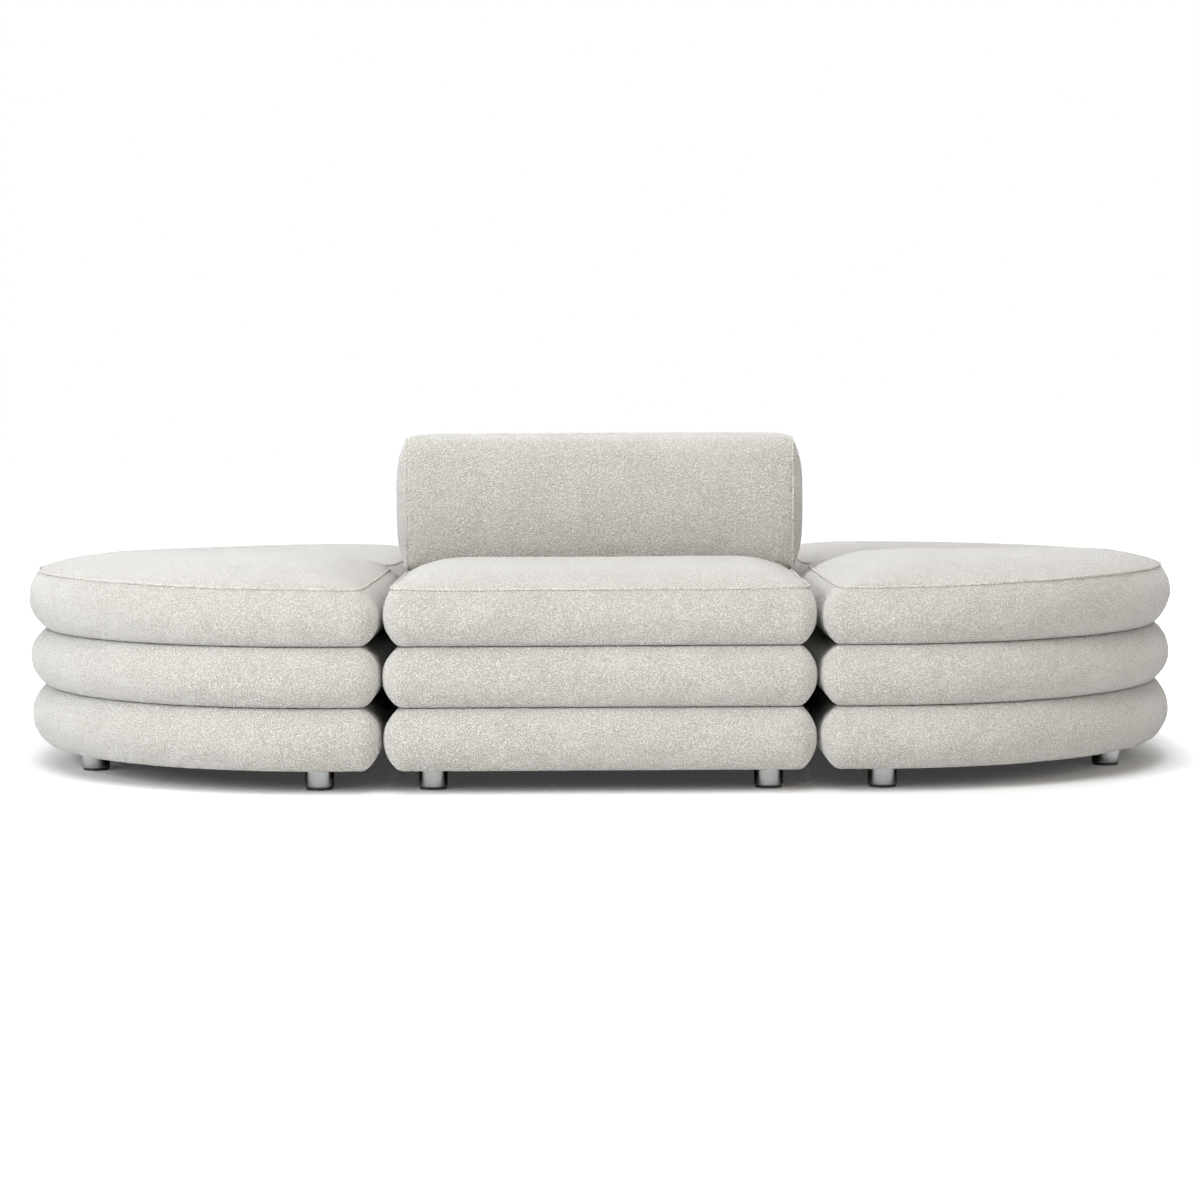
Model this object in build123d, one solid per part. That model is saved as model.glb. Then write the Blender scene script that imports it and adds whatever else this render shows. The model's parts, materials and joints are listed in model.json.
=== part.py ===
from build123d import *
import math
import os

os.makedirs("parts", exist_ok=True)

# An armless island sofa: two rows of free-standing modules, each a stack of three padded rolls on a
# plywood base with four round feet. Millimetres, origin on the floor at the middle of the island,
# +X along its length, -Y towards the front and +Z up.

# Plan of the modules
seat_width = 924.0  # along X, at the fullest line of the rolls, as are the next two
end_width = 872.0
module_depth = 900.0  # along Y, of seats and ends alike
module_gap = 0.8  # between the fullest lines of two modules pushed together
corner_radius = 85.0  # plan rounding of a square corner at the fullest line
end_straight = 25.0  # straight front of an end module between its square corner and its great curve

# Heights of the stack
glide_height = 6.0
foot_height = 42.0
bottom_roll_height = 135.0
middle_roll_height = 130.0
top_bulge_height = 65.0  # fullest line of the top roll above its underside
welt_height = 121.0  # welt line of the top roll above its underside
seat_crown = 36.0  # rise of the front seat's top panel above its welt
end_crown = 46.0  # the same on the front ends
rear_crown = 20.0  # the same on every module of the rear row
crown_flat = 300.0  # width of the level middle of a crown
groove_depth = 35.0  # how far the rolls draw in at the grooves between them

# Base board and its cloth
board_thickness = 18.0
board_inset = 50.0  # edge of the base board inside the fullest line
board_fit = 0.5  # between the base board's edge and the padding around it
board_corner = 5.0  # least plan rounding of a board's corner
cloth_thickness = 1.0
cloth_margin = 12.0  # edge of the cloth inside the edge of the base board

# Feet and their fastenings
foot_diameter = 62.0
foot_edge = 1.5  # rounding of the foot's rims
foot_side = 102.0  # foot centre inside the side of a seat
foot_front = 130.0  # foot centre inside the front and rear of a module
end_foot_inner = 142.0  # foot centre inside the inner side of an end module
end_foot_outer = 116.0  # foot centre inside an end module's great curve and its outer side
end_foot_turn = 27.0  # degrees behind the front at which the foot under the great curve stands
glide_margin = 2.0  # the glide's rim inside the foot's
glide_edge = 1.0
spigot_diameter = 16.0
spigot_length = 8.0
stud_diameter = 10.0
stud_in_foot = 26.0
stud_above_nut = 3.0
nut_barrel_diameter = 13.0
nut_barrel_length = 15.0
nut_flange_diameter = 32.0
nut_flange_thickness = 2.0
hole_clearance = 0.1  # on the radius, wherever a round piece sits in a hole
hole_relief = 2.0  # spare room past the end of a piece in a blind hole or around a foot or nut

# Back
back_length = 906.0  # seam to seam
back_bulge = 32.0  # each end panel beyond its seam
back_depth = 260.0
back_height = 319.0
back_from_rear = 10.0  # rear of the back inside the rear of the module
back_edge = 36.0  # rounding of the long edges
back_draw = 5.0  # how far the back draws in at its end seams
back_end_run = 62.0  # width over which an end panel rounds into the back's faces
back_clearance = 0.5  # between the back and the top panel that it sinks into
back_board_length = 700.0
back_board_depth = 180.0
back_board_thickness = 12.0
weight_length = 640.0
weight_depth = 120.0
weight_thickness = 12.0
pad_thickness = 2.0
pad_margin = 10.0  # the grip pad's edge beyond the back's board
back_screw_diameter = 6.0
back_screw_length = 20.0
back_screw_inset = 30.0  # screw centre inside the weight's edges

# How finely the round sides and crowns are drawn
roll_steps = 6
crown_steps = 4
back_end_steps = 3

# Levels worked out from the heights
base_level = glide_height + foot_height
middle_level = base_level + bottom_roll_height
top_level = middle_level + middle_roll_height
welt_level = top_level + welt_height
back_level = welt_level + pad_thickness
board_top = base_level + board_thickness
nut_top = board_top + nut_flange_thickness
stud_top = nut_top + stud_above_nut

# Plan points that several pieces share
half = seat_width / 2
end_outer = half + end_width
# The great curve takes up the shorter side of an end, less a square corner and the straight
end_curve_radius = min(end_width, module_depth) - corner_radius - end_straight
end_curve_x = end_outer - end_curve_radius
end_curve_y = end_curve_radius - module_depth
# An end's crown shrinks about the middle of the largest circle that its plan holds
curve_slack = end_curve_radius - (end_curve_x - half) + end_curve_y
curve_offset = math.hypot(end_curve_x - half, end_curve_y)
end_crown_reach = math.sqrt(curve_slack**2 + end_curve_radius**2 - curve_offset**2) - curve_slack
seat_centre = (0, -module_depth / 2)
end_centre = (half + end_crown_reach, -end_crown_reach)


def seat_outline(inset, share=1.0):
    """Plan of a seat module, drawn in by inset and then shrunk to a share about its centre."""
    width = (seat_width - 2 * inset) * share
    depth = (module_depth - 2 * inset) * share
    radius = max(corner_radius - inset, board_corner) * share
    return Pos(*seat_centre) * RectangleRounded(width, depth, radius)


def end_outline(inset, share=1.0):
    """Plan of the front right end: a rounded rectangle whose outer front corner is one great curve."""
    inner = half + inset
    outer = end_outer - inset
    front = inset - module_depth
    rear = -inset
    radius = max(corner_radius - inset, board_corner)

    def shrunk(x, y):
        return (end_centre[0] + share * (x - end_centre[0]), end_centre[1] + share * (y - end_centre[1]))

    def line(start, finish):
        return Line(shrunk(*start), shrunk(*finish))

    def arc(x, y, arc_radius, start_angle):
        return CenterArc(shrunk(x, y), arc_radius * share, start_angle, 90)

    edges = [
        line((inner + radius, front), (end_curve_x, front)),
        arc(end_curve_x, end_curve_y, end_curve_radius - inset, -90),
        line((outer, end_curve_y), (outer, rear - radius)),
        arc(outer - radius, rear - radius, radius, 0),
        line((outer - radius, rear), (inner + radius, rear)),
        arc(inner + radius, rear - radius, radius, 90),
        line((inner, rear - radius), (inner, front + radius)),
        arc(inner + radius, front + radius, radius, 180),
    ]
    return make_face(Wire(edges))


def roll_inset(rise, half_height):
    """How far a roll's side lies inside its fullest line, at a rise above that line: a circular arc."""
    radius = (half_height**2 + groove_depth**2) / (2 * groove_depth)
    return radius - math.sqrt(radius**2 - rise**2)


def roll(outline, low, fullest, high):
    """Padded roll from level low to level high, whose side is an arc with its fullest line between."""
    half_height = fullest - low
    sections = []
    for step in range(roll_steps + 1):
        level = low + (high - low) * step / roll_steps
        inset = roll_inset(level - fullest, half_height) + module_gap / 2
        sections.append(Pos(0, 0, level) * outline(inset))
    return loft(sections)


def crown(outline, rise):
    """Crowned top panel: the welt's outline shrinks to its level middle as it rises on a parabola."""
    welt_inset = roll_inset(welt_height - top_bulge_height, top_bulge_height) + module_gap / 2
    shrink = 1 - crown_flat / module_depth
    sections = []
    for step in range(crown_steps + 1):
        part = step / crown_steps
        level = welt_level + rise * (1 - (1 - part) ** 2)
        sections.append(Pos(0, 0, level) * outline(welt_inset, 1 - shrink * part))
    return loft(sections)


def upright(diameter, low, high):
    """Round bar on the Z axis between two levels."""
    return Pos(0, 0, low) * extrude(Circle(diameter / 2), high - low)


def foot():
    """Polished foot with a hole for its stud on top and one for the glide's spigot below."""
    body = upright(foot_diameter, glide_height, base_level)
    body = fillet(body.edges(), foot_edge)
    stud_hole = stud_diameter + 2 * hole_clearance
    body -= upright(stud_hole, base_level - stud_in_foot - hole_relief, base_level)
    spigot_hole = spigot_diameter + 2 * hole_clearance
    return body - upright(spigot_hole, glide_height, glide_height + spigot_length + hole_relief)


def glide():
    """Glide: a disc under the foot with a spigot pressed up into it."""
    disc = upright(foot_diameter - 2 * glide_margin, 0, glide_height)
    disc = chamfer(disc.edges().sort_by(Axis.Z)[0], glide_edge)
    return disc + upright(spigot_diameter, glide_height, glide_height + spigot_length)


def foot_stud():
    """Threaded stud from the foot up through the tee nut, drawn as its plain cylinder."""
    return upright(stud_diameter, base_level - stud_in_foot, stud_top)


def tee_nut():
    """Flanged nut: its flange lies on the base board and its barrel hangs in the board's hole."""
    nut = upright(nut_flange_diameter, board_top, nut_top)
    nut += upright(nut_barrel_diameter, board_top - nut_barrel_length, board_top)
    return nut - upright(stud_diameter + 2 * hole_clearance, base_level, nut_top)


def at_each(places, shape):
    """Copies of one shape at each plan place, as separate solids."""
    return Compound([Pos(x, y) * shape for x, y in places])


def without(body, places, tool):
    """The body with one tool cut away at each plan place."""
    for x, y in places:
        body -= Pos(x, y) * tool
    return body


def top_cushion(outline, rise):
    """Top roll of a module with its crowned panel."""
    return roll(outline, top_level, top_level + top_bulge_height, welt_level) + crown(outline, rise)


def module(outline, rise, feet_at):
    """All pieces of one module, by name."""
    nut_hole = nut_barrel_diameter + 2 * hole_clearance
    board = Pos(0, 0, base_level) * extrude(outline(board_inset), board_thickness)
    board = without(board, feet_at, upright(nut_hole, base_level, board_top))

    cloth = Pos(0, 0, base_level - cloth_thickness) * extrude(
        outline(board_inset + cloth_margin), cloth_thickness
    )
    foot_hole = foot_diameter + 2 * hole_relief
    cloth = without(cloth, feet_at, upright(foot_hole, base_level - cloth_thickness, base_level))

    bottom = roll(outline, base_level, base_level + bottom_roll_height / 2, middle_level)
    bottom -= Pos(0, 0, base_level) * extrude(outline(board_inset - board_fit), board_thickness)
    nut_relief = nut_flange_diameter + 2 * hole_relief
    bottom = without(bottom, feet_at, upright(nut_relief, board_top, stud_top + hole_relief))

    return {
        "base_board": board,
        "underside_cloth": cloth,
        "bottom_cushion": bottom,
        "middle_cushion": roll(outline, middle_level, middle_level + middle_roll_height / 2, top_level),
        "top_cushion": top_cushion(outline, rise),
        "feet": at_each(feet_at, foot()),
        "glides": at_each(feet_at, glide()),
        "foot_studs": at_each(feet_at, foot_stud()),
        "tee_nuts": at_each(feet_at, tee_nut()),
    }


# Plan places of the feet
seat_feet = [
    (side * (half - foot_side), y)
    for side in (-1, 1)
    for y in (foot_front - module_depth, -foot_front)
]
end_foot_radius = end_curve_radius - end_foot_outer
end_feet = [
    (half + end_foot_inner, foot_front - module_depth),
    (half + end_foot_inner, -foot_front),
    (end_outer - end_foot_outer, -foot_front),
    (
        end_curve_x + end_foot_radius * math.cos(math.radians(end_foot_turn)),
        end_curve_y - end_foot_radius * math.sin(math.radians(end_foot_turn)),
    ),
]

# Places of the back
back_rear = -back_from_rear
back_front = back_rear - back_depth
back_middle = (back_front + back_rear) / 2
back_half = back_length / 2


def back_section(x, inset, lift):
    """Upright section of the back at x, drawn in by inset, its underside raised by lift."""
    depth = back_depth - 2 * inset
    height = back_height - inset - lift
    radius = min(back_edge, depth / 3, height / 3)
    middle_height = back_level + lift + height / 2
    return Plane((x, back_middle, middle_height), (0, 1, 0), (1, 0, 0)) * RectangleRounded(
        depth, height, radius
    )


def back_body():
    """Padded bolster: fullest in the middle of its length, drawn in at its seams, with bulging ends."""
    body = loft(
        [
            back_section(-back_half, back_draw, 0),
            back_section(0, 0, 0),
            back_section(back_half, back_draw, 0),
        ]
    )
    sections = []
    for step in range(back_end_steps + 1):
        turn = math.radians(75 * step / back_end_steps)
        draw = back_end_run * (1 - math.cos(turn))
        out = back_bulge * math.sin(turn) / math.sin(math.radians(75))
        sections.append(back_section(back_half + out, back_draw + draw, draw))
    end = loft(sections)
    return body + end + mirror(end, about=Plane.YZ)


def back_box(length, depth, low, high, fit=0.0):
    """Box in the back's underside, centred on the back and widened by a fit all round."""
    plan = Rectangle(length + 2 * fit, depth + 2 * fit)
    return Pos(0, back_middle, low) * extrude(plan, high - low)


def back_pieces():
    """All pieces of the back, by name."""
    board_roof = back_level + back_board_thickness
    weight_roof = board_roof + weight_thickness
    cushion = back_body()
    cushion -= back_box(back_board_length, back_board_depth, back_level, board_roof, board_fit)
    cushion -= back_box(weight_length, weight_depth, board_roof, weight_roof, board_fit)

    screws_at = [
        (x * (weight_length / 2 - back_screw_inset), back_middle + y * (weight_depth / 2 - back_screw_inset))
        for x in (-1, 1)
        for y in (-1, 1)
    ]
    screw = upright(back_screw_diameter, back_level, back_level + back_screw_length)
    hole_size = back_screw_diameter + 2 * hole_clearance
    screw_hole = upright(hole_size, back_level, back_level + back_screw_length + hole_relief)
    board = back_box(back_board_length, back_board_depth, back_level, board_roof)
    weight = back_box(weight_length, weight_depth, board_roof, weight_roof)
    pad_length = back_board_length + 2 * pad_margin
    pad_depth = back_board_depth + 2 * pad_margin
    return {
        "back_cushion": cushion,
        "back_base_board": without(board, screws_at, screw_hole),
        "back_weight": without(weight, screws_at, screw_hole),
        "back_screws": at_each(screws_at, screw),
        "back_grip_pad": back_box(pad_length, pad_depth, welt_level, back_level),
    }


def sunk_under_back(cushion):
    """The front seat's top cushion, pressed level where the back stands on it."""
    width = back_length + 2 * back_bulge + 2 * back_clearance
    depth = -back_front + back_clearance
    rise = seat_crown + hole_relief
    return cushion - Pos(0, -depth / 2, welt_level) * extrude(Rectangle(width, depth), rise)


# The rear row repeats the front row with flatter crowns
seat = module(seat_outline, seat_crown, seat_feet)
end = module(end_outline, end_crown, end_feet)
rear_seat = dict(seat, top_cushion=top_cushion(seat_outline, rear_crown))
rear_end = dict(end, top_cushion=top_cushion(end_outline, rear_crown))
seat["top_cushion"] = sunk_under_back(seat["top_cushion"])

# Seats and ends are drawn at the front, the ends on the right, then mirrored or turned half round
pieces = back_pieces()
for name in seat:
    pieces[f"front_seat_{name}"] = seat[name]
    pieces[f"rear_seat_{name}"] = mirror(rear_seat[name], about=Plane.XZ)
    pieces[f"front_right_end_{name}"] = end[name]
    pieces[f"front_left_end_{name}"] = mirror(end[name], about=Plane.YZ)
    pieces[f"rear_right_end_{name}"] = mirror(rear_end[name], about=Plane.XZ)
    pieces[f"rear_left_end_{name}"] = Rot(0, 0, 180) * rear_end[name]

for name, shape in pieces.items():
    export_step(shape, f"parts/{name}.step")
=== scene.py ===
import json
import math

import bpy
import numpy as np
from mathutils import Matrix, Vector


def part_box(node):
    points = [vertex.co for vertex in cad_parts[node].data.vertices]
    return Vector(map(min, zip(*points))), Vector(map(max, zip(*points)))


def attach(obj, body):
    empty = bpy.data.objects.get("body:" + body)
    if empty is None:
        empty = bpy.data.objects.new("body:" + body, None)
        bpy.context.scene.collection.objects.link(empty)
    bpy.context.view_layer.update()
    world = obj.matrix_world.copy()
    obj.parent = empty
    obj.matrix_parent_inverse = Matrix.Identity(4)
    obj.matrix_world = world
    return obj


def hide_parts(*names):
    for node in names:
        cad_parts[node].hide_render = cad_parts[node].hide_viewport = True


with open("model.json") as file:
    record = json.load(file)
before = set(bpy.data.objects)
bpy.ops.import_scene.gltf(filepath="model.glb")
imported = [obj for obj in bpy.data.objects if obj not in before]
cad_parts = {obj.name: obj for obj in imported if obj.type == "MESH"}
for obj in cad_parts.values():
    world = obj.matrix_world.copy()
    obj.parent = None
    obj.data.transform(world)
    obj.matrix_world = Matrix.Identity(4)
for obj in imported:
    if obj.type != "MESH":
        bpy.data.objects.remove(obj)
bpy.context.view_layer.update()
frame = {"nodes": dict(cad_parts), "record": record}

# Modules and the plan corner, if any, that is one great curve.
# Corners run front left, front right, rear right, rear left.
MODULES = {
    "front_seat": None,
    "rear_seat": None,
    "front_left_end": 0,
    "front_right_end": 1,
    "rear_right_end": 2,
    "rear_left_end": 3,
}

# Plan of the padding, in metres
CORNER_RADIUS = 0.050  # of a module's small corners
END_STRAIGHT = 0.060  # straight run between a small corner and an end's great curve
FABRIC_INSET = 0.0034  # sewn shape inside the space that the padding may fill
END_FILL = 0.0040  # the ends are stuffed this much fuller along their great curve

# Side of a roll
SEAT_GROOVE = 0.031  # how far a seat's rolls draw in at the grooves
END_GROOVE = 0.033  # the same on an end module
WELT_HEIGHT = 0.121  # welt line above the underside of the top roll
END_WELT_RISE = 0.013  # the welt of an end is this much higher at the outer side
SEAT_LEAN = -0.35  # change of the top roll's inset on the sides of a seat
END_LEAN = 0.6  # the same where an end faces a seat
CORNER_LEAN = 0.6  # the same at the small corners, where the welt rounds off
LAYER_GAP = 0.0004  # rolls stay this far inside their own levels
SLIT_DEPTH = 0.008  # depth of the seam between two rolls, behind the groove
SLIT_HEIGHT = 0.0009  # half the least opening of that seam
UNDERSIDE_DISH = 0.004  # the bottom roll's underside rises clear of the base board

# Crowned top panels
SEAT_REACH = 0.13  # from a seat's welt to the level middle of its panel
END_REACH = 0.21  # the same on an end
CROWN_POWER = 2.3
CROWN_SMOOTHING = 14
SELF_WEIGHT = 0.5  # of a point's own height when it is averaged with its neighbours
NEIGHBOUR_WEIGHT = 0.125  # of each of its four neighbours
BACK_DIP = 0.040  # length over which the seat dips under the back
BACK_DIP_START = 0.015  # in front of the back

# Back
BACK_SEAM = 0.450  # end seams from the middle
BACK_TOP_RADIUS = 0.034
BACK_LOW_RADIUS = 0.030
BACK_DRAW = 0.008  # the section draws in this much at its end seams
BACK_DRAW_POWER = 24
BACK_TAPER = 0.14  # share by which the section narrows at its top and underside
BACK_END_BULGE = 0.027
BACK_END_REACH = 0.120
BACK_END_SMOOTHING = 2
BACK_SWELL_POWER = 4
BACK_ROW_SPREAD = 0.98  # share of a quarter turn by whose sine the rows crowd to the end seams
BACK_REST_SHARE = 0.25  # share of the low edges' radius that is held still

# Welts
WELT_RADIUS = 0.0028
BACK_WELT_RADIUS = 0.0024
WELT_SIDES = 10
WELT_LIFT = 0.45  # of the radius
WELT_TILT = 0.9  # rise for each unit outward of the way a top welt faces

# Unevenness of hand-stuffed padding
SWELL = 0.0017
LIFT_SHARE = 0.4  # of the swell, up and down
WELT_WANDER = 0.0010
SEAM_FRAY = 0.0030  # how far the seams between rolls open and close
FRAY_WAVES = (19, 31, 43, 61, 79)

# Random seeds
MODULE_SEEDS = 100  # from one module to the next
ROLL_SEEDS = 10  # from a module's bottom roll to its middle roll
TOP_SEEDS = 40  # and to its top roll
BACK_SEED = 17

# Looped pile of the fabric
LOOP_SIZE = 0.0035
LOOP_WANDER = 0.0045
LOOP_WANDER_SCALE = 170.0
LOOP_SMOOTHNESS = 0.25
LOOP_WIDTH = 0.70  # of the loop size, from a loop's top to its foot
LOOP_RELIEF = 0.0040
FUZZ_SCALE = 700.0
FUZZ_SHARE = 0.35
PATCH_SCALE = 11.0
PATCH_DRIFT = 0.10
LOOP_SHEEN = 1.0
WELT_RELIEF = 0.0020  # relief and sheen of the tight welts
WELT_SHEEN = 0.2
LOOP_DEEP = 0.15  # heights at which the painted shade between the loops ends and the loop colour starts
LOOP_CLEAR = 0.65
LOOP_COLOUR = (0.806, 0.791, 0.748)
# Painted shade: the colour that the fabric is darkened towards deep between its loops, where they
# shade each other
PAINTED_CREVICE_SHADE = (0.489, 0.447, 0.396)
FABRIC_ROUGHNESS = 0.95
FABRIC_DIFFUSE_ROUGHNESS = 0.9
FABRIC_SPECULAR = 0.15
SHEEN_ROUGHNESS = 0.4

# Polished feet
STEEL_COLOUR = (0.335, 0.34, 0.335)
TURNING_STRETCH = (6.0, 6.0, 900.0)
TURNING_STRENGTH = 0.4
TURNING_DEPTH = 0.0003
SMUDGE_SCALE = 45.0
STEEL_ROUGHNESS = (0.06, 0.13)

# Grained finishes: dark and light tone, stretch of the grain, roughness and share of metal
GRAINED = {
    "plywood": ((0.42, 0.28, 0.15), (0.62, 0.45, 0.27), (4, 60, 60), 0.6, 0.0),
    "black_cloth": ((0.012, 0.012, 0.012), (0.03, 0.03, 0.03), (900, 900, 900), 0.95, 0.0),
    "black_plastic": ((0.008, 0.008, 0.008), (0.02, 0.02, 0.02), (700, 700, 700), 0.5, 0.0),
    "zinc_steel": ((0.42, 0.43, 0.44), (0.62, 0.63, 0.64), (90, 90, 300), 0.35, 1.0),
    "steel_plate": ((0.03, 0.03, 0.032), (0.06, 0.06, 0.062), (40, 40, 40), 0.55, 0.4),
    "grip_rubber": ((0.006, 0.006, 0.006), (0.02, 0.02, 0.02), (20, 500, 20), 0.9, 0.0),
}
GRAIN_DARK_END = 0.35
GRAIN_LIGHT_END = 0.65
GRAIN_STRENGTH = 0.2
GRAIN_DEPTH = 0.0004

# Mesh counts
PLAN_STEPS = 56
ROLL_STEPS = 14
BACK_STEPS = 24
BACK_ROWS = 76

# Cloth
CLOTH_FRAMES = 20
CLOTH_PRESSURE = 4.0
CLOTH_EASE = -0.010  # share by which the cover shrinks: below zero, it is cut larger
CLOTH_CAP = 0.0036  # farthest that a point may move
CLOTH_STRETCH_STIFFNESS = 15
CLOTH_SHEAR_STIFFNESS = 8
CLOTH_BENDING_STIFFNESS = 2
LEAST_DRIFT = 1e-9  # keeps a point at rest from dividing by zero

# How tightly the padding is stuffed, from 0, slack, to 1, tight
ROLL_FILL = 0.9
TOP_FILL = 0.85
BACK_FILL = 0.9


def side_path(start_corner, end_corner, start_radius, end_radius, steps):
    """Points and outward normals along one side of a rounded rectangle, evenly by length, from the
    middle of its first corner arc to the middle of its second: arc, straight, arc."""
    span = np.subtract(end_corner, start_corner)
    length = np.hypot(*span)
    along = span / length
    outward = np.array([along[1], -along[0]])
    first = start_radius * math.pi / 4
    last = end_radius * math.pi / 4
    straight = length - start_radius - end_radius
    t = np.linspace(0, first + straight + last, steps, endpoint=False)
    first_turn = t / start_radius - math.pi / 4
    last_turn = np.maximum(t - first - straight, 0) / end_radius
    turn = np.where(t < first, first_turn, last_turn)
    normal = np.outer(np.cos(turn), outward) + np.outer(np.sin(turn), along)
    centre_run = np.where(t < first, start_radius, start_radius + np.clip(t - first, 0, straight))
    radius = np.where(t < first, start_radius, np.where(t > first + straight, end_radius, 0))
    on_straight = (t >= first) & (t <= first + straight)
    depth = np.where(on_straight, 0, radius)
    centre = np.asarray(start_corner) + np.outer(centre_run, along) - np.outer(depth, outward)
    return centre + normal * radius[:, None], normal


def rounded_outline(low, high, radii, steps):
    """Closed rounded rectangle, anticlockwise from the middle of its first corner: points, normals."""
    corners = [(low[0], low[1]), (high[0], low[1]), (high[0], high[1]), (low[0], high[1])]
    sides = [
        side_path(corners[k], corners[(k + 1) % 4], radii[k], radii[(k + 1) % 4], steps)
        for k in range(4)
    ]
    return np.concatenate([s[0] for s in sides]), np.concatenate([s[1] for s in sides])


def fill_ring(ring):
    """Coons patch inside a closed ring of four equal sides: the blend of its opposite sides less the
    blend of its corners, as a square grid of points."""
    n = len(ring) // 4
    closed = np.concatenate([ring, ring[:1]])
    front = closed[: n + 1][:, None]
    right = closed[n : 2 * n + 1][None]
    rear = closed[2 * n : 3 * n + 1][::-1][:, None]
    left = closed[3 * n :][::-1][None]
    u = np.linspace(0, 1, n + 1)[:, None, None]
    v = np.linspace(0, 1, n + 1)[None, :, None]
    corners = (
        (1 - u) * (1 - v) * closed[0]
        + u * (1 - v) * closed[n]
        + u * v * closed[2 * n]
        + (1 - u) * v * closed[3 * n]
    )
    return (1 - v) * front + v * rear + (1 - u) * left + u * right - corners


def shell_mesh(name, rows, low_cap, high_cap):
    """Closed shell: rings of points stacked in rows, closed by a grid at each end. Returns the object
    and the index arrays of its rows, low cap and high cap."""
    count, around = rows.shape[:2]
    n = around // 4
    ring = np.arange(around)
    row_index = np.arange(count * around).reshape(count, around)

    def cap_index(border, first):
        grid = np.empty((n + 1, n + 1), dtype=int)
        grid[1:-1, 1:-1] = first + np.arange((n - 1) ** 2).reshape(n - 1, n - 1)
        closed = np.append(border, border[0])
        grid[:, 0] = closed[: n + 1]
        grid[n, :] = closed[n : 2 * n + 1]
        grid[:, n] = closed[2 * n : 3 * n + 1][::-1]
        grid[0, :] = closed[3 * n :][::-1]
        return grid

    def quads(a, b, c, d):
        return np.stack([a, b, c, d], axis=-1).reshape(-1, 4)

    low = cap_index(row_index[0], count * around)
    high = cap_index(row_index[-1], count * around + (n - 1) ** 2)
    points = np.concatenate(
        [rows.reshape(-1, 3), low_cap[1:-1, 1:-1].reshape(-1, 3), high_cap[1:-1, 1:-1].reshape(-1, 3)]
    )
    following = (ring + 1) % around
    faces = np.concatenate(
        [
            quads(row_index[:-1], row_index[:-1, following], row_index[1:, following], row_index[1:]),
            quads(low[:-1, :-1], low[:-1, 1:], low[1:, 1:], low[1:, :-1]),
            quads(high[:-1, :-1], high[1:, :-1], high[1:, 1:], high[:-1, 1:]),
        ]
    )
    return mesh_object(name, points, faces), row_index, low, high


def mesh_object(name, points, faces):
    """Smooth-shaded mesh object at the origin from arrays of points and faces."""
    mesh = bpy.data.meshes.new(name)
    mesh.from_pydata(points.tolist(), [], faces.tolist())
    mesh.polygons.foreach_set("use_smooth", np.ones(len(mesh.polygons), dtype=bool))
    mesh.update()
    piece = bpy.data.objects.new(name, mesh)
    bpy.context.scene.collection.objects.link(piece)
    return piece


def uneven(seed, around, amplitude, waves=(2, 3, 5, 8, 13)):
    """Smooth closed unevenness along a ring: a few sine waves of seeded strength and phase."""
    draw = np.random.default_rng(seed)
    turn = 2 * math.pi * np.arange(around) / around
    total = np.zeros(around)
    for wave in waves:
        total += draw.normal() * np.sin(wave * turn + draw.uniform(0, 2 * math.pi)) / math.sqrt(wave)
    return amplitude * total


def smooth_step(low, high, value):
    """0 below low, 1 above high, and a cubic ease between."""
    share = np.clip((value - low) / (high - low), 0, 1)
    return share * share * (3 - 2 * share)


def crown_heights(grid, ring, rise, reach, smoothing):
    """Height of a crowned panel over its welt: 1 - (1 - d)^power of the distance d to the welt, level
    beyond the reach, then eased by averaging neighbours. Grid and ring are flat, in two axes."""
    apart = np.linalg.norm(grid[:, :, None] - ring[None, None], axis=-1).min(axis=-1)
    height = rise * (1 - (1 - np.clip(apart / reach, 0, 1)) ** CROWN_POWER)
    height[[0, -1], :] = 0
    height[:, [0, -1]] = 0
    for _ in range(smoothing):
        around = height[:-2, 1:-1] + height[2:, 1:-1] + height[1:-1, :-2] + height[1:-1, 2:]
        height[1:-1, 1:-1] = SELF_WEIGHT * height[1:-1, 1:-1] + NEIGHBOUR_WEIGHT * around
    return height


def module_outline(module, node):
    """Plan outline of a module's padding from its CAD box, with its own great curve."""
    low, high = (np.array(corner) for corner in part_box(node))
    radii = [CORNER_RADIUS - FABRIC_INSET] * 4
    if MODULES[module] is not None:
        side = high[0] - low[0]
        radii[MODULES[module]] = side - CORNER_RADIUS - END_STRAIGHT - FABRIC_INSET
    low[:2] += FABRIC_INSET
    high[:2] -= FABRIC_INSET
    points, normals = rounded_outline(low, high, radii, PLAN_STEPS)
    if MODULES[module] is not None:
        outward = -1 if "left" in module else 1
        points = points + END_FILL * normals * np.clip(outward * normals[:, :1], 0, 1)
    return (points, normals), low[2], high[2]


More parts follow.
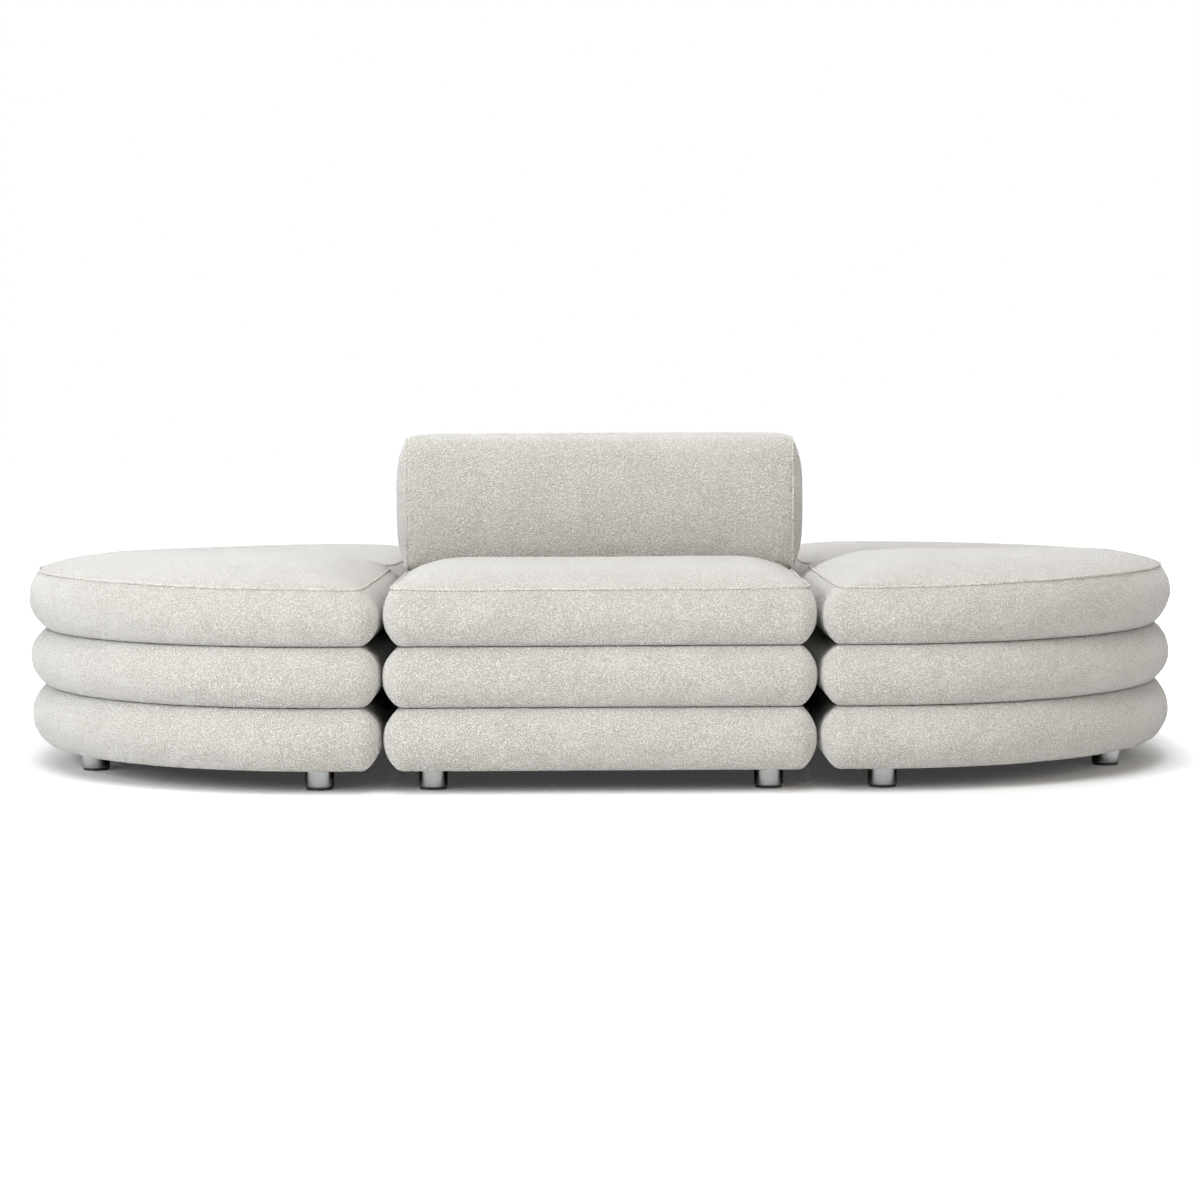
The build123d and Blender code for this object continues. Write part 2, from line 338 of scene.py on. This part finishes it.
def roll_rows(outline, low, fullest, high, groove, seed, lean=0.0, upper_slit=True):
    """Rings of a roll's side: an arc of a circle through the groove and the fullest line, carried
    round the plan outline along its normals, with a slight unevenness. Above the fullest line the
    inset grows by the share that lean gives for each point of the outline. Behind each groove the
    seam goes on as a narrow slit, which opens and closes by a short uneven wave."""
    points, normals = outline
    half_height = fullest - low
    radius = (half_height**2 + groove**2) / (2 * groove)
    lowest = -math.asin(half_height / radius)
    highest = math.asin((high - fullest) / radius)
    turn = np.linspace(lowest, highest, ROLL_STEPS + 1)
    inset = radius * (1 - np.cos(turn))
    level = fullest + radius * np.sin(turn)
    fullness = np.clip(1 - (inset / groove) ** 2, 0, 1)
    swell = uneven(seed, len(points), SWELL)
    lift = uneven(seed + 1, len(points), SWELL)
    leaning = 1 + np.where(turn > 0, 1.0, 0.0)[:, None] * lean
    out = -inset[:, None] * leaning + np.minimum(swell, FABRIC_INSET)[None] * fullness[:, None]
    levels = level[:, None] + LIFT_SHARE * lift[None] * fullness[:, None]
    waver = [uneven(seed + k, len(points), SEAM_FRAY, FRAY_WAVES) for k in (2, 3)]
    fray = SLIT_HEIGHT + np.abs(waver)
    levels[0] += fray[0]
    out = np.concatenate([out[:1] - SLIT_DEPTH, out])
    levels = np.concatenate([np.full((1, len(points)), low), levels])
    if upper_slit:
        levels[-1] -= fray[1]
        out = np.concatenate([out, out[-1:] - SLIT_DEPTH])
        levels = np.concatenate([levels, np.full((1, len(points)), high)])
    plan = points[None] + normals[None] * out[:, :, None]
    return np.concatenate([plan, levels[:, :, None]], axis=-1)


def top_lean(module, points, normals):
    """Share by which a top roll's inset grows: less on the sides of a seat, more where an end faces
    a seat, and more round the small corners, by a bell curve of the distance to their middles."""
    corners = points[::PLAN_STEPS]
    if MODULES[module] is not None:
        corners = np.delete(corners, MODULES[module], axis=0)
    apart = np.linalg.norm(points[:, None] - corners[None], axis=-1).min(axis=1)
    rounding = CORNER_LEAN * np.exp(-((apart / CORNER_RADIUS) ** 2))
    if MODULES[module] is None:
        return SEAT_LEAN * normals[:, 0] ** 2 + rounding
    inward = 1 if "left" in module else -1
    return END_LEAN * np.clip(inward * normals[:, 0], 0, 1) ** 2 + rounding


def flat_cap(ring, level):
    """Level grid inside a ring."""
    grid = fill_ring(ring)
    grid[1:-1, 1:-1, 2] = level
    return grid


def make_roll(module, layer, seed):
    """Bottom or middle roll of a module: returns the object and the points sewn in place."""
    node = f"{module}_{layer}_cushion"
    outline, low, high = module_outline(module, node)
    low += LAYER_GAP
    high -= LAYER_GAP
    groove = SEAT_GROOVE if MODULES[module] is None else END_GROOVE
    rows = roll_rows(outline, low, (low + high) / 2, high, groove, seed)
    dish = UNDERSIDE_DISH if layer == "bottom" else 0
    name = f"{module}_{layer}_roll"
    piece, row_index, low_cap, high_cap = shell_mesh(
        name, rows, flat_cap(rows[0], low + dish), flat_cap(rows[-1], high)
    )
    return piece, np.concatenate([low_cap.ravel(), row_index[1], row_index[-2], high_cap.ravel()])


def make_seat_top(module, seed):
    """Top roll of a module with its crowned panel: the object, its sewn points and its welt ring."""
    node = f"{module}_top_cushion"
    outline, low, high = module_outline(module, node)
    welt_level = low + WELT_HEIGHT
    low += LAYER_GAP
    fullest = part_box(f"{module}_middle_cushion")
    half_height = (fullest[1][2] - fullest[0][2]) / 2
    groove = SEAT_GROOVE if MODULES[module] is None else END_GROOVE
    lean = top_lean(module, *outline)
    rows = roll_rows(outline, low, low + half_height, welt_level, groove, seed, lean, upper_slit=False)
    if MODULES[module] is not None:
        across = np.abs(rows[-1, :, 0])
        outer = smooth_step(across.min(), across.max(), across)
        share = np.clip((rows[:, :, 2] - low - half_height) / (welt_level - low - half_height), 0, 1)
        rows[:, :, 2] += END_WELT_RISE * outer[None] * share
    rows[-1, :, 2] += uneven(seed + 4, rows.shape[1], WELT_WANDER)
    panel = fill_ring(rows[-1])
    reach = SEAT_REACH if MODULES[module] is None else END_REACH
    room = high - panel[:, :, 2]
    rise = crown_heights(panel[:, :, :2], rows[-1, :, :2], 1.0, reach, CROWN_SMOOTHING) * room
    sewn_panel = np.zeros(rise.shape, dtype=bool)
    if module == "front_seat":
        back_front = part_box("back_cushion")[0][1] - BACK_DIP_START
        rise *= 1 - smooth_step(back_front, back_front + BACK_DIP, panel[:, :, 1])
        sewn_panel = panel[:, :, 1] > back_front + BACK_DIP / 2
    panel[:, :, 2] += rise
    name = f"{module}_top_roll"
    underside = flat_cap(rows[0], low)
    piece, row_index, low_cap, high_cap = shell_mesh(name, rows, underside, panel)
    sewn = np.concatenate([low_cap.ravel(), row_index[1], row_index[-1], high_cap[sewn_panel]])
    return piece, sewn, rows[-1]


def make_back(seed):
    """Bolster back: a rounded section drawn in towards its end seams, with bulging end panels. Returns
    the object, its sewn points and its two seam rings."""
    low, high = (np.array(corner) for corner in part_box("back_cushion"))
    low[1] += FABRIC_INSET
    high[1] -= FABRIC_INSET
    high[2] -= FABRIC_INSET
    radii = [BACK_LOW_RADIUS, BACK_LOW_RADIUS, BACK_TOP_RADIUS, BACK_TOP_RADIUS]
    points, normals = rounded_outline(low[1:], high[1:], radii, BACK_STEPS)
    half_height = (high[2] - low[2]) / 2
    aloft = (points[:, 1] - low[2]) / half_height - 1
    middle = (low[1] + high[1]) / 2
    points[:, 0] = middle + (points[:, 0] - middle) * (1 - BACK_TAPER * aloft**2)
    turn = BACK_ROW_SPREAD * np.linspace(-math.pi / 2, math.pi / 2, BACK_ROWS + 1)
    along = BACK_SEAM * np.sin(turn) / math.sin(turn[-1])
    draw = BACK_DRAW * np.abs(along / BACK_SEAM) ** BACK_DRAW_POWER
    resting = np.clip((points[:, 1] - low[2]) / BACK_LOW_RADIUS, 0, 1)
    swell = uneven(seed, len(points), SWELL) * resting
    inner = 1 - np.abs(along / BACK_SEAM) ** BACK_SWELL_POWER
    out = -draw[:, None] * resting[None] + swell[None] * inner[:, None]
    section = points[None] + normals[None] * out[:, :, None]
    x = np.broadcast_to(along[:, None, None], (*section.shape[:2], 1))
    rows = np.concatenate([x, section], axis=-1)

    def end_panel(ring, side):
        grid = fill_ring(ring)
        grid[:, :, 0] += side * crown_heights(
            grid[:, :, 1:], ring[:, 1:], BACK_END_BULGE, BACK_END_REACH, BACK_END_SMOOTHING
        )
        return grid

    piece, row_index, low_cap, high_cap = shell_mesh(
        "back_bolster", rows, end_panel(rows[0], -1), end_panel(rows[-1], 1)
    )
    under = row_index[:, points[:, 1] < low[2] + BACK_LOW_RADIUS * BACK_REST_SHARE]
    return piece, np.concatenate([row_index[0], row_index[-1], under.ravel()]), (rows[0], rows[-1])


def make_welt(name, ring, outward, radius):
    """Self-welt: a round tube carried along a closed ring, lifted a little off the seam."""
    along = np.roll(ring, -1, axis=0) - np.roll(ring, 1, axis=0)
    along /= np.linalg.norm(along, axis=1, keepdims=True)
    outward = outward / np.linalg.norm(outward, axis=1, keepdims=True)
    across = np.cross(along, outward)
    turn = (2 * math.pi * np.arange(WELT_SIDES) / WELT_SIDES)[None, :, None]
    centre = ring + outward * WELT_LIFT * radius
    spokes = np.cos(turn) * outward[:, None] + np.sin(turn) * across[:, None]
    points = centre[:, None] + radius * spokes
    index = np.arange(points.shape[0] * WELT_SIDES).reshape(points.shape[0], WELT_SIDES)
    onward = np.roll(index, -1, axis=0)
    faces = np.stack([index, onward, np.roll(onward, -1, axis=1), np.roll(index, -1, axis=1)], axis=-1)
    return mesh_object(name, points.reshape(-1, 3), faces.reshape(-1, 4)[:, ::-1])


def inflate(shells):
    """Blows every sewn shell up at once as cloth under pressure with its sewn points held, caps how
    far each point has moved and keeps the result in the mesh."""
    scene = bpy.context.scene
    scene.frame_start = 1
    scene.frame_end = CLOTH_FRAMES
    for piece, sewn in shells:
        held = piece.vertex_groups.new(name="sewn")
        held.add(np.unique(sewn).tolist(), 1.0, "REPLACE")
        cloth = piece.modifiers.new("Cloth", "CLOTH")
        cloth.point_cache.frame_start = 1
        cloth.point_cache.frame_end = CLOTH_FRAMES
        cloth.collision_settings.use_collision = False
        settings = cloth.settings
        settings.vertex_group_mass = held.name
        settings.use_pressure = True
        settings.uniform_pressure_force = CLOTH_PRESSURE
        settings.shrink_min = CLOTH_EASE
        settings.tension_stiffness = CLOTH_STRETCH_STIFFNESS
        settings.compression_stiffness = CLOTH_STRETCH_STIFFNESS
        settings.shear_stiffness = CLOTH_SHEAR_STIFFNESS
        settings.bending_stiffness = CLOTH_BENDING_STIFFNESS
        settings.effector_weights.gravity = 0
    for step in range(1, CLOTH_FRAMES + 1):
        scene.frame_set(step)
    graph = bpy.context.evaluated_depsgraph_get()
    for piece, _ in shells:
        blown = piece.evaluated_get(graph)
        mesh = blown.to_mesh()
        after = np.empty(len(mesh.vertices) * 3)
        mesh.vertices.foreach_get("co", after)
        blown.to_mesh_clear()
        before = np.empty_like(after)
        piece.data.vertices.foreach_get("co", before)
        drift = (after - before).reshape(-1, 3)
        far = np.linalg.norm(drift, axis=1, keepdims=True) + LEAST_DRIFT
        drift *= CLOTH_CAP * np.tanh(far / CLOTH_CAP) / far
        piece.modifiers.clear()
        piece.vertex_groups.clear()
        piece.data.vertices.foreach_set("co", before + drift.ravel())
        piece.data.update()
    scene.frame_set(1)


def new_material(name):
    """Empty node material with a Principled shader: returns the material, its tree and the shader."""
    material = bpy.data.materials.new(name)
    material.use_nodes = True
    tree = material.node_tree
    return material, tree, tree.nodes["Principled BSDF"]


def add_node(tree, kind, links=None, **values):
    """One shader node with its properties set and its inputs linked or set, by name or number."""
    made = tree.nodes.new(kind)
    for key, value in values.items():
        setattr(made, key, value)
    for socket, source in (links or {}).items():
        if isinstance(source, bpy.types.NodeSocket):
            tree.links.new(source, made.inputs[socket])
        else:
            made.inputs[socket].default_value = source
    return made


def two_tones(tree, source, dark, light, dark_end, light_end):
    """Colour that runs from dark to light between two values of a source."""
    ramp = add_node(tree, "ShaderNodeValToRGB", {"Fac": source})
    first = ramp.color_ramp.elements[0]
    first.position = dark_end
    first.color = (*dark, 1)
    last = ramp.color_ramp.elements[1]
    last.position = light_end
    last.color = (*light, 1)
    return ramp.outputs["Color"]


def noise(tree, place, scale, detail):
    """Even noise of one scale, as a node."""
    return add_node(tree, "ShaderNodeTexNoise", {"Vector": place, "Scale": scale, "Detail": detail})


def boucle_cloth(name, bump_depth, sheen):
    """Off-white looped pile: small rounded loops of uneven size in relief, with painted shade deep
    between them, and slow drifts of tone."""
    material, tree, shader = new_material(name)
    place = add_node(tree, "ShaderNodeTexCoord").outputs["Object"]
    wander = noise(tree, place, LOOP_WANDER_SCALE, detail=2.0)
    shift = add_node(
        tree,
        "ShaderNodeVectorMath",
        {0: wander.outputs["Color"], 1: (0.5, 0.5, 0.5)},
        operation="SUBTRACT",
    )
    pushed = add_node(
        tree,
        "ShaderNodeVectorMath",
        {0: shift.outputs[0], 1: (LOOP_WANDER, LOOP_WANDER, LOOP_WANDER), 2: place},
        operation="MULTIPLY_ADD",
    )
    loops = add_node(
        tree,
        "ShaderNodeTexVoronoi",
        {"Vector": pushed.outputs[0], "Scale": 1 / LOOP_SIZE, "Smoothness": LOOP_SMOOTHNESS},
        feature="SMOOTH_F1",
    )
    fuzz = noise(tree, place, FUZZ_SCALE, detail=2.0)
    relief = add_node(
        tree,
        "ShaderNodeMapRange",
        {"Value": loops.outputs["Distance"], "From Max": LOOP_WIDTH, "To Min": 1.0, "To Max": 0.0},
        interpolation_type="SMOOTHSTEP",
    )
    height = add_node(
        tree,
        "ShaderNodeMath",
        {0: fuzz.outputs["Fac"], 1: FUZZ_SHARE, 2: relief.outputs["Result"]},
        operation="MULTIPLY_ADD",
    )
    patches = noise(tree, place, PATCH_SCALE, detail=3.0)
    drift = add_node(
        tree,
        "ShaderNodeMapRange",
        {"Value": patches.outputs["Fac"], "To Min": -PATCH_DRIFT, "To Max": PATCH_DRIFT},
    )
    # loop height plus a slow random drift of tone; it drives the painted shade between the loops
    depth = add_node(
        tree, "ShaderNodeMath", {0: height.outputs[0], 1: drift.outputs["Result"]}, operation="ADD"
    )
    # Painted shade: the colour runs from the crevice shade deep between the loops to the loop colour
    # on their tops
    colour = two_tones(tree, depth.outputs[0], PAINTED_CREVICE_SHADE, LOOP_COLOUR, LOOP_DEEP, LOOP_CLEAR)
    bump = add_node(
        tree,
        "ShaderNodeBump",
        {"Height": height.outputs[0], "Strength": 1.0, "Distance": bump_depth},
    )
    tree.links.new(colour, shader.inputs["Base Color"])
    tree.links.new(bump.outputs["Normal"], shader.inputs["Normal"])
    shader.inputs["Roughness"].default_value = FABRIC_ROUGHNESS
    shader.inputs["Diffuse Roughness"].default_value = FABRIC_DIFFUSE_ROUGHNESS
    shader.inputs["Specular IOR Level"].default_value = FABRIC_SPECULAR
    shader.inputs["Sheen Weight"].default_value = sheen
    shader.inputs["Sheen Roughness"].default_value = SHEEN_ROUGHNESS
    return material


def polished_steel():
    """Polished foot: bright metal with faint turning lines and slight smudges."""
    material, tree, shader = new_material("polished_steel")
    place = add_node(tree, "ShaderNodeTexCoord").outputs["Object"]
    lines = add_node(tree, "ShaderNodeMapping", {"Vector": place, "Scale": TURNING_STRETCH})
    turning = noise(tree, lines.outputs[0], 1.0, detail=2.0)
    smudge = noise(tree, place, SMUDGE_SCALE, detail=3.0)
    gloss = add_node(
        tree,
        "ShaderNodeMapRange",
        {"Value": smudge.outputs["Fac"], "To Min": STEEL_ROUGHNESS[0], "To Max": STEEL_ROUGHNESS[1]},
    )
    bump = add_node(
        tree,
        "ShaderNodeBump",
        {"Height": turning.outputs["Fac"], "Strength": TURNING_STRENGTH, "Distance": TURNING_DEPTH},
    )
    tree.links.new(gloss.outputs["Result"], shader.inputs["Roughness"])
    tree.links.new(bump.outputs["Normal"], shader.inputs["Normal"])
    shader.inputs["Base Color"].default_value = (*STEEL_COLOUR, 1)
    shader.inputs["Metallic"].default_value = 1.0
    return material


def grained(name, dark, light, stretch, roughness, metallic):
    """Finish whose tone and relief follow one noise, stretched along an axis for grain or ribs."""
    material, tree, shader = new_material(name)
    place = add_node(tree, "ShaderNodeTexCoord").outputs["Object"]
    lines = add_node(tree, "ShaderNodeMapping", {"Vector": place, "Scale": stretch})
    grain = noise(tree, lines.outputs[0], 1.0, detail=4.0)
    colour = two_tones(tree, grain.outputs["Fac"], dark, light, GRAIN_DARK_END, GRAIN_LIGHT_END)
    bump = add_node(
        tree,
        "ShaderNodeBump",
        {"Height": grain.outputs["Fac"], "Strength": GRAIN_STRENGTH, "Distance": GRAIN_DEPTH},
    )
    tree.links.new(colour, shader.inputs["Base Color"])
    tree.links.new(bump.outputs["Normal"], shader.inputs["Normal"])
    shader.inputs["Roughness"].default_value = roughness
    shader.inputs["Metallic"].default_value = metallic
    return material


def finishes():
    """Every finish by the record's slot name, and the fabric of the welts."""
    made = {name: grained(name, *look) for name, look in GRAINED.items()}
    made["boucle"] = boucle_cloth("boucle", LOOP_RELIEF, LOOP_SHEEN)
    made["welt"] = boucle_cloth("boucle_welt", WELT_RELIEF, WELT_SHEEN)
    made["polished_steel"] = polished_steel()
    return made


def finish_shell(piece, body, node):
    """Rounds a padded shell, joins it to its body and lets it stand for its CAD node."""
    rounding = piece.modifiers.new("Rounding", "SUBSURF")
    rounding.levels = 1
    rounding.render_levels = 1
    piece.data.materials.append(FINISHES["boucle"])
    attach(piece, body)
    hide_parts(node)


def finish_welt(piece, body):
    """Gives a welt the fabric and joins it to its body."""
    piece.data.materials.append(FINISHES["welt"])
    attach(piece, body)


def build_padding():
    """Sews every roll and the back, blows them up together, then adds the welts."""
    shells = []
    welts = []
    for place, module in enumerate(MODULES):
        seed = MODULE_SEEDS * (place + 1)
        for step, layer in enumerate(("bottom", "middle")):
            piece, sewn = make_roll(module, layer, seed + ROLL_SEEDS * step)
            shells.append((piece, sewn, module, f"{module}_{layer}_cushion", ROLL_FILL))
        piece, sewn, ring = make_seat_top(module, seed + TOP_SEEDS)
        shells.append((piece, sewn, module, f"{module}_top_cushion", TOP_FILL))
        outward = np.zeros_like(ring)
        outward[:, :2] = module_outline(module, f"{module}_top_cushion")[0][1]
        outward[:, 2] = WELT_TILT
        welts.append((f"{module}_top_welt", ring, outward, WELT_RADIUS, module))
    piece, sewn, rings = make_back(BACK_SEED)
    shells.append((piece, sewn, "back", "back_cushion", BACK_FILL))
    for side, ring in zip(("left", "right"), rings):
        outward = ring - ring.mean(axis=0)
        welts.append((f"back_{side}_welt", ring, outward, BACK_WELT_RADIUS, "back"))
    inflate([shell[:2] for shell in shells])
    for piece, _, body, node, fill in shells:
        finish_shell(piece, body, node)
    for name, ring, outward, radius, body in welts:
        finish_welt(make_welt(name, ring, outward, radius), body)


def dress_frame():
    """Gives every CAD node the finish of its slot."""
    for subpart in frame["record"]["subparts"]:
        node = frame["nodes"][subpart["node"]]
        node.data.materials.clear()
        node.data.materials.append(FINISHES[subpart["material_slot"]])


# Studio
FLOOR_HALF = 30.0
FLOOR_COLOUR = 0.90
FLOOR_GLOW = 0.043  # light that the floor adds to camera rays beside the sofa
FLOOR_FADE_X = (1.27, 1.72)  # distances from the middle over which the floor fades to plain white
FLOOR_FADE_Y = (1.05, 2.20)
WORLD_LIGHT = 0.12
# Lamps: place, target, size, power and colour
LAMPS = {
    "left": ((-4.6, -4.6, 2.6), (0.0, -0.5, 0.3), 2.6, 238.0, (0.945, 0.975, 1.0)),
    "right": ((4.6, -4.6, 2.6), (0.0, -0.5, 0.3), 2.6, 112.0, (1.0, 0.975, 0.93)),
    "front": ((-0.6, -2.95, 4.35), (0.0, -0.3, 0.3), 3.4, 165.0, (1.0, 0.995, 0.995)),
    "side": ((-5.2, -1.6, 2.4), (0.0, -0.4, 0.35), 2.8, 46.0, (0.945, 0.975, 1.0)),
    "over": ((0.7, 1.5, 4.4), (0.0, 0.1, 0.3), 3.6, 152.0, (0.96, 0.98, 1.0)),
    "rear left": ((-3.6, 5.6, 3.0), (0.0, 0.5, 0.3), 2.6, 140.0, (1.0, 1.0, 1.0)),
    "rear right": ((3.6, 5.6, 3.0), (0.0, 0.5, 0.3), 2.6, 140.0, (1.0, 1.0, 1.0)),
}

# Camera, as the photograph was taken
CAMERA_PLACE = (0.0, -6.45, 0.80)
CAMERA_PITCH = 3.99
CAMERA_ROLL = -0.3
FOCAL_PIXELS = 2664.0
FRAME_PIXELS = 1200.0
SENSOR_WIDTH = 36.0
CAMERA_REACH = 200  # farthest distance that the camera sees


def seen_directly(tree):
    """1 for rays from the camera, a mirror or a glass, else 0."""
    path = add_node(tree, "ShaderNodeLightPath")
    glossy = add_node(
        tree,
        "ShaderNodeMath",
        {0: path.outputs["Is Camera Ray"], 1: path.outputs["Is Glossy Ray"]},
        operation="MAXIMUM",
    )
    both = add_node(
        tree,
        "ShaderNodeMath",
        {0: glossy.outputs[0], 1: path.outputs["Is Transmission Ray"]},
        operation="MAXIMUM",
    )
    return both.outputs[0]


def build_floor():
    """White paper floor that keeps the shadow near the sofa and fades to plain white far from it."""
    corners = FLOOR_HALF * np.array([[-1, -1, 0], [1, -1, 0], [1, 1, 0], [-1, 1, 0]], dtype=float)
    floor = mesh_object("studio_floor", corners, np.array([[0, 1, 2, 3]]))
    material, tree, shader = new_material("studio_paper")
    shader.inputs["Base Color"].default_value = (FLOOR_COLOUR, FLOOR_COLOUR, FLOOR_COLOUR, 1)
    shader.inputs["Roughness"].default_value = 1.0
    shader.inputs["Specular IOR Level"].default_value = 0.0
    shader.inputs["Emission Color"].default_value = (1, 1, 1, 1)
    place = add_node(tree, "ShaderNodeTexCoord").outputs["Object"]
    axes = add_node(tree, "ShaderNodeSeparateXYZ", {"Vector": place})

    def fade(axis, span):
        apart = add_node(tree, "ShaderNodeMath", {0: axes.outputs[axis]}, operation="ABSOLUTE")
        return add_node(
            tree,
            "ShaderNodeMapRange",
            {"Value": apart.outputs[0], "From Min": span[0], "From Max": span[1]},
            interpolation_type="SMOOTHSTEP",
        )

    far = add_node(
        tree,
        "ShaderNodeMath",
        {0: fade("X", FLOOR_FADE_X).outputs["Result"], 1: fade("Y", FLOOR_FADE_Y).outputs["Result"]},
        operation="MAXIMUM",
    )
    plain = add_node(
        tree, "ShaderNodeMath", {0: seen_directly(tree), 1: far.outputs[0]}, operation="MULTIPLY"
    )
    path = add_node(tree, "ShaderNodeLightPath")
    glow = add_node(
        tree,
        "ShaderNodeMath",
        {0: path.outputs["Is Camera Ray"], 1: FLOOR_GLOW, 2: plain.outputs[0]},
        operation="MULTIPLY_ADD",
    )
    tree.links.new(glow.outputs[0], shader.inputs["Emission Strength"])
    floor.data.materials.append(material)


def build_lights():
    """Even white surround with large soft lamps."""
    world = bpy.data.worlds.new("studio")
    bpy.context.scene.world = world
    world.use_nodes = True
    tree = world.node_tree
    background = tree.nodes["Background"]
    background.inputs["Color"].default_value = (1, 1, 1, 1)
    strength = add_node(
        tree,
        "ShaderNodeMapRange",
        {"Value": seen_directly(tree), "To Min": WORLD_LIGHT, "To Max": 1.0},
    )
    tree.links.new(strength.outputs["Result"], background.inputs["Strength"])
    for name, (place, target, size, power, colour) in LAMPS.items():
        light = bpy.data.lights.new(name, "AREA")
        light.energy = power
        light.size = size
        light.color = colour
        lamp = bpy.data.objects.new(name, light)
        aim = Vector(target) - Vector(place)
        turned = aim.to_track_quat("-Z", "Y").to_matrix().to_4x4()
        lamp.matrix_world = Matrix.Translation(place) @ turned
        bpy.context.scene.collection.objects.link(lamp)


def build_camera():
    """Camera at the photograph's place, pitch, roll and focal length."""
    camera = bpy.data.cameras.new("camera")
    camera.sensor_width = SENSOR_WIDTH
    camera.lens = SENSOR_WIDTH * FOCAL_PIXELS / FRAME_PIXELS
    camera.clip_end = CAMERA_REACH
    view = bpy.data.objects.new("camera", camera)
    tilt = Matrix.Rotation(math.radians(90 - CAMERA_PITCH), 4, "X")
    roll = Matrix.Rotation(math.radians(CAMERA_ROLL), 4, "Z")
    view.matrix_world = Matrix.Translation(CAMERA_PLACE) @ tilt @ roll
    bpy.context.scene.collection.objects.link(view)
    bpy.context.scene.camera = view


FINISHES = finishes()
build_padding()
dress_frame()
build_floor()
build_lights()
build_camera()
bpy.context.scene.view_settings.view_transform = "Standard"
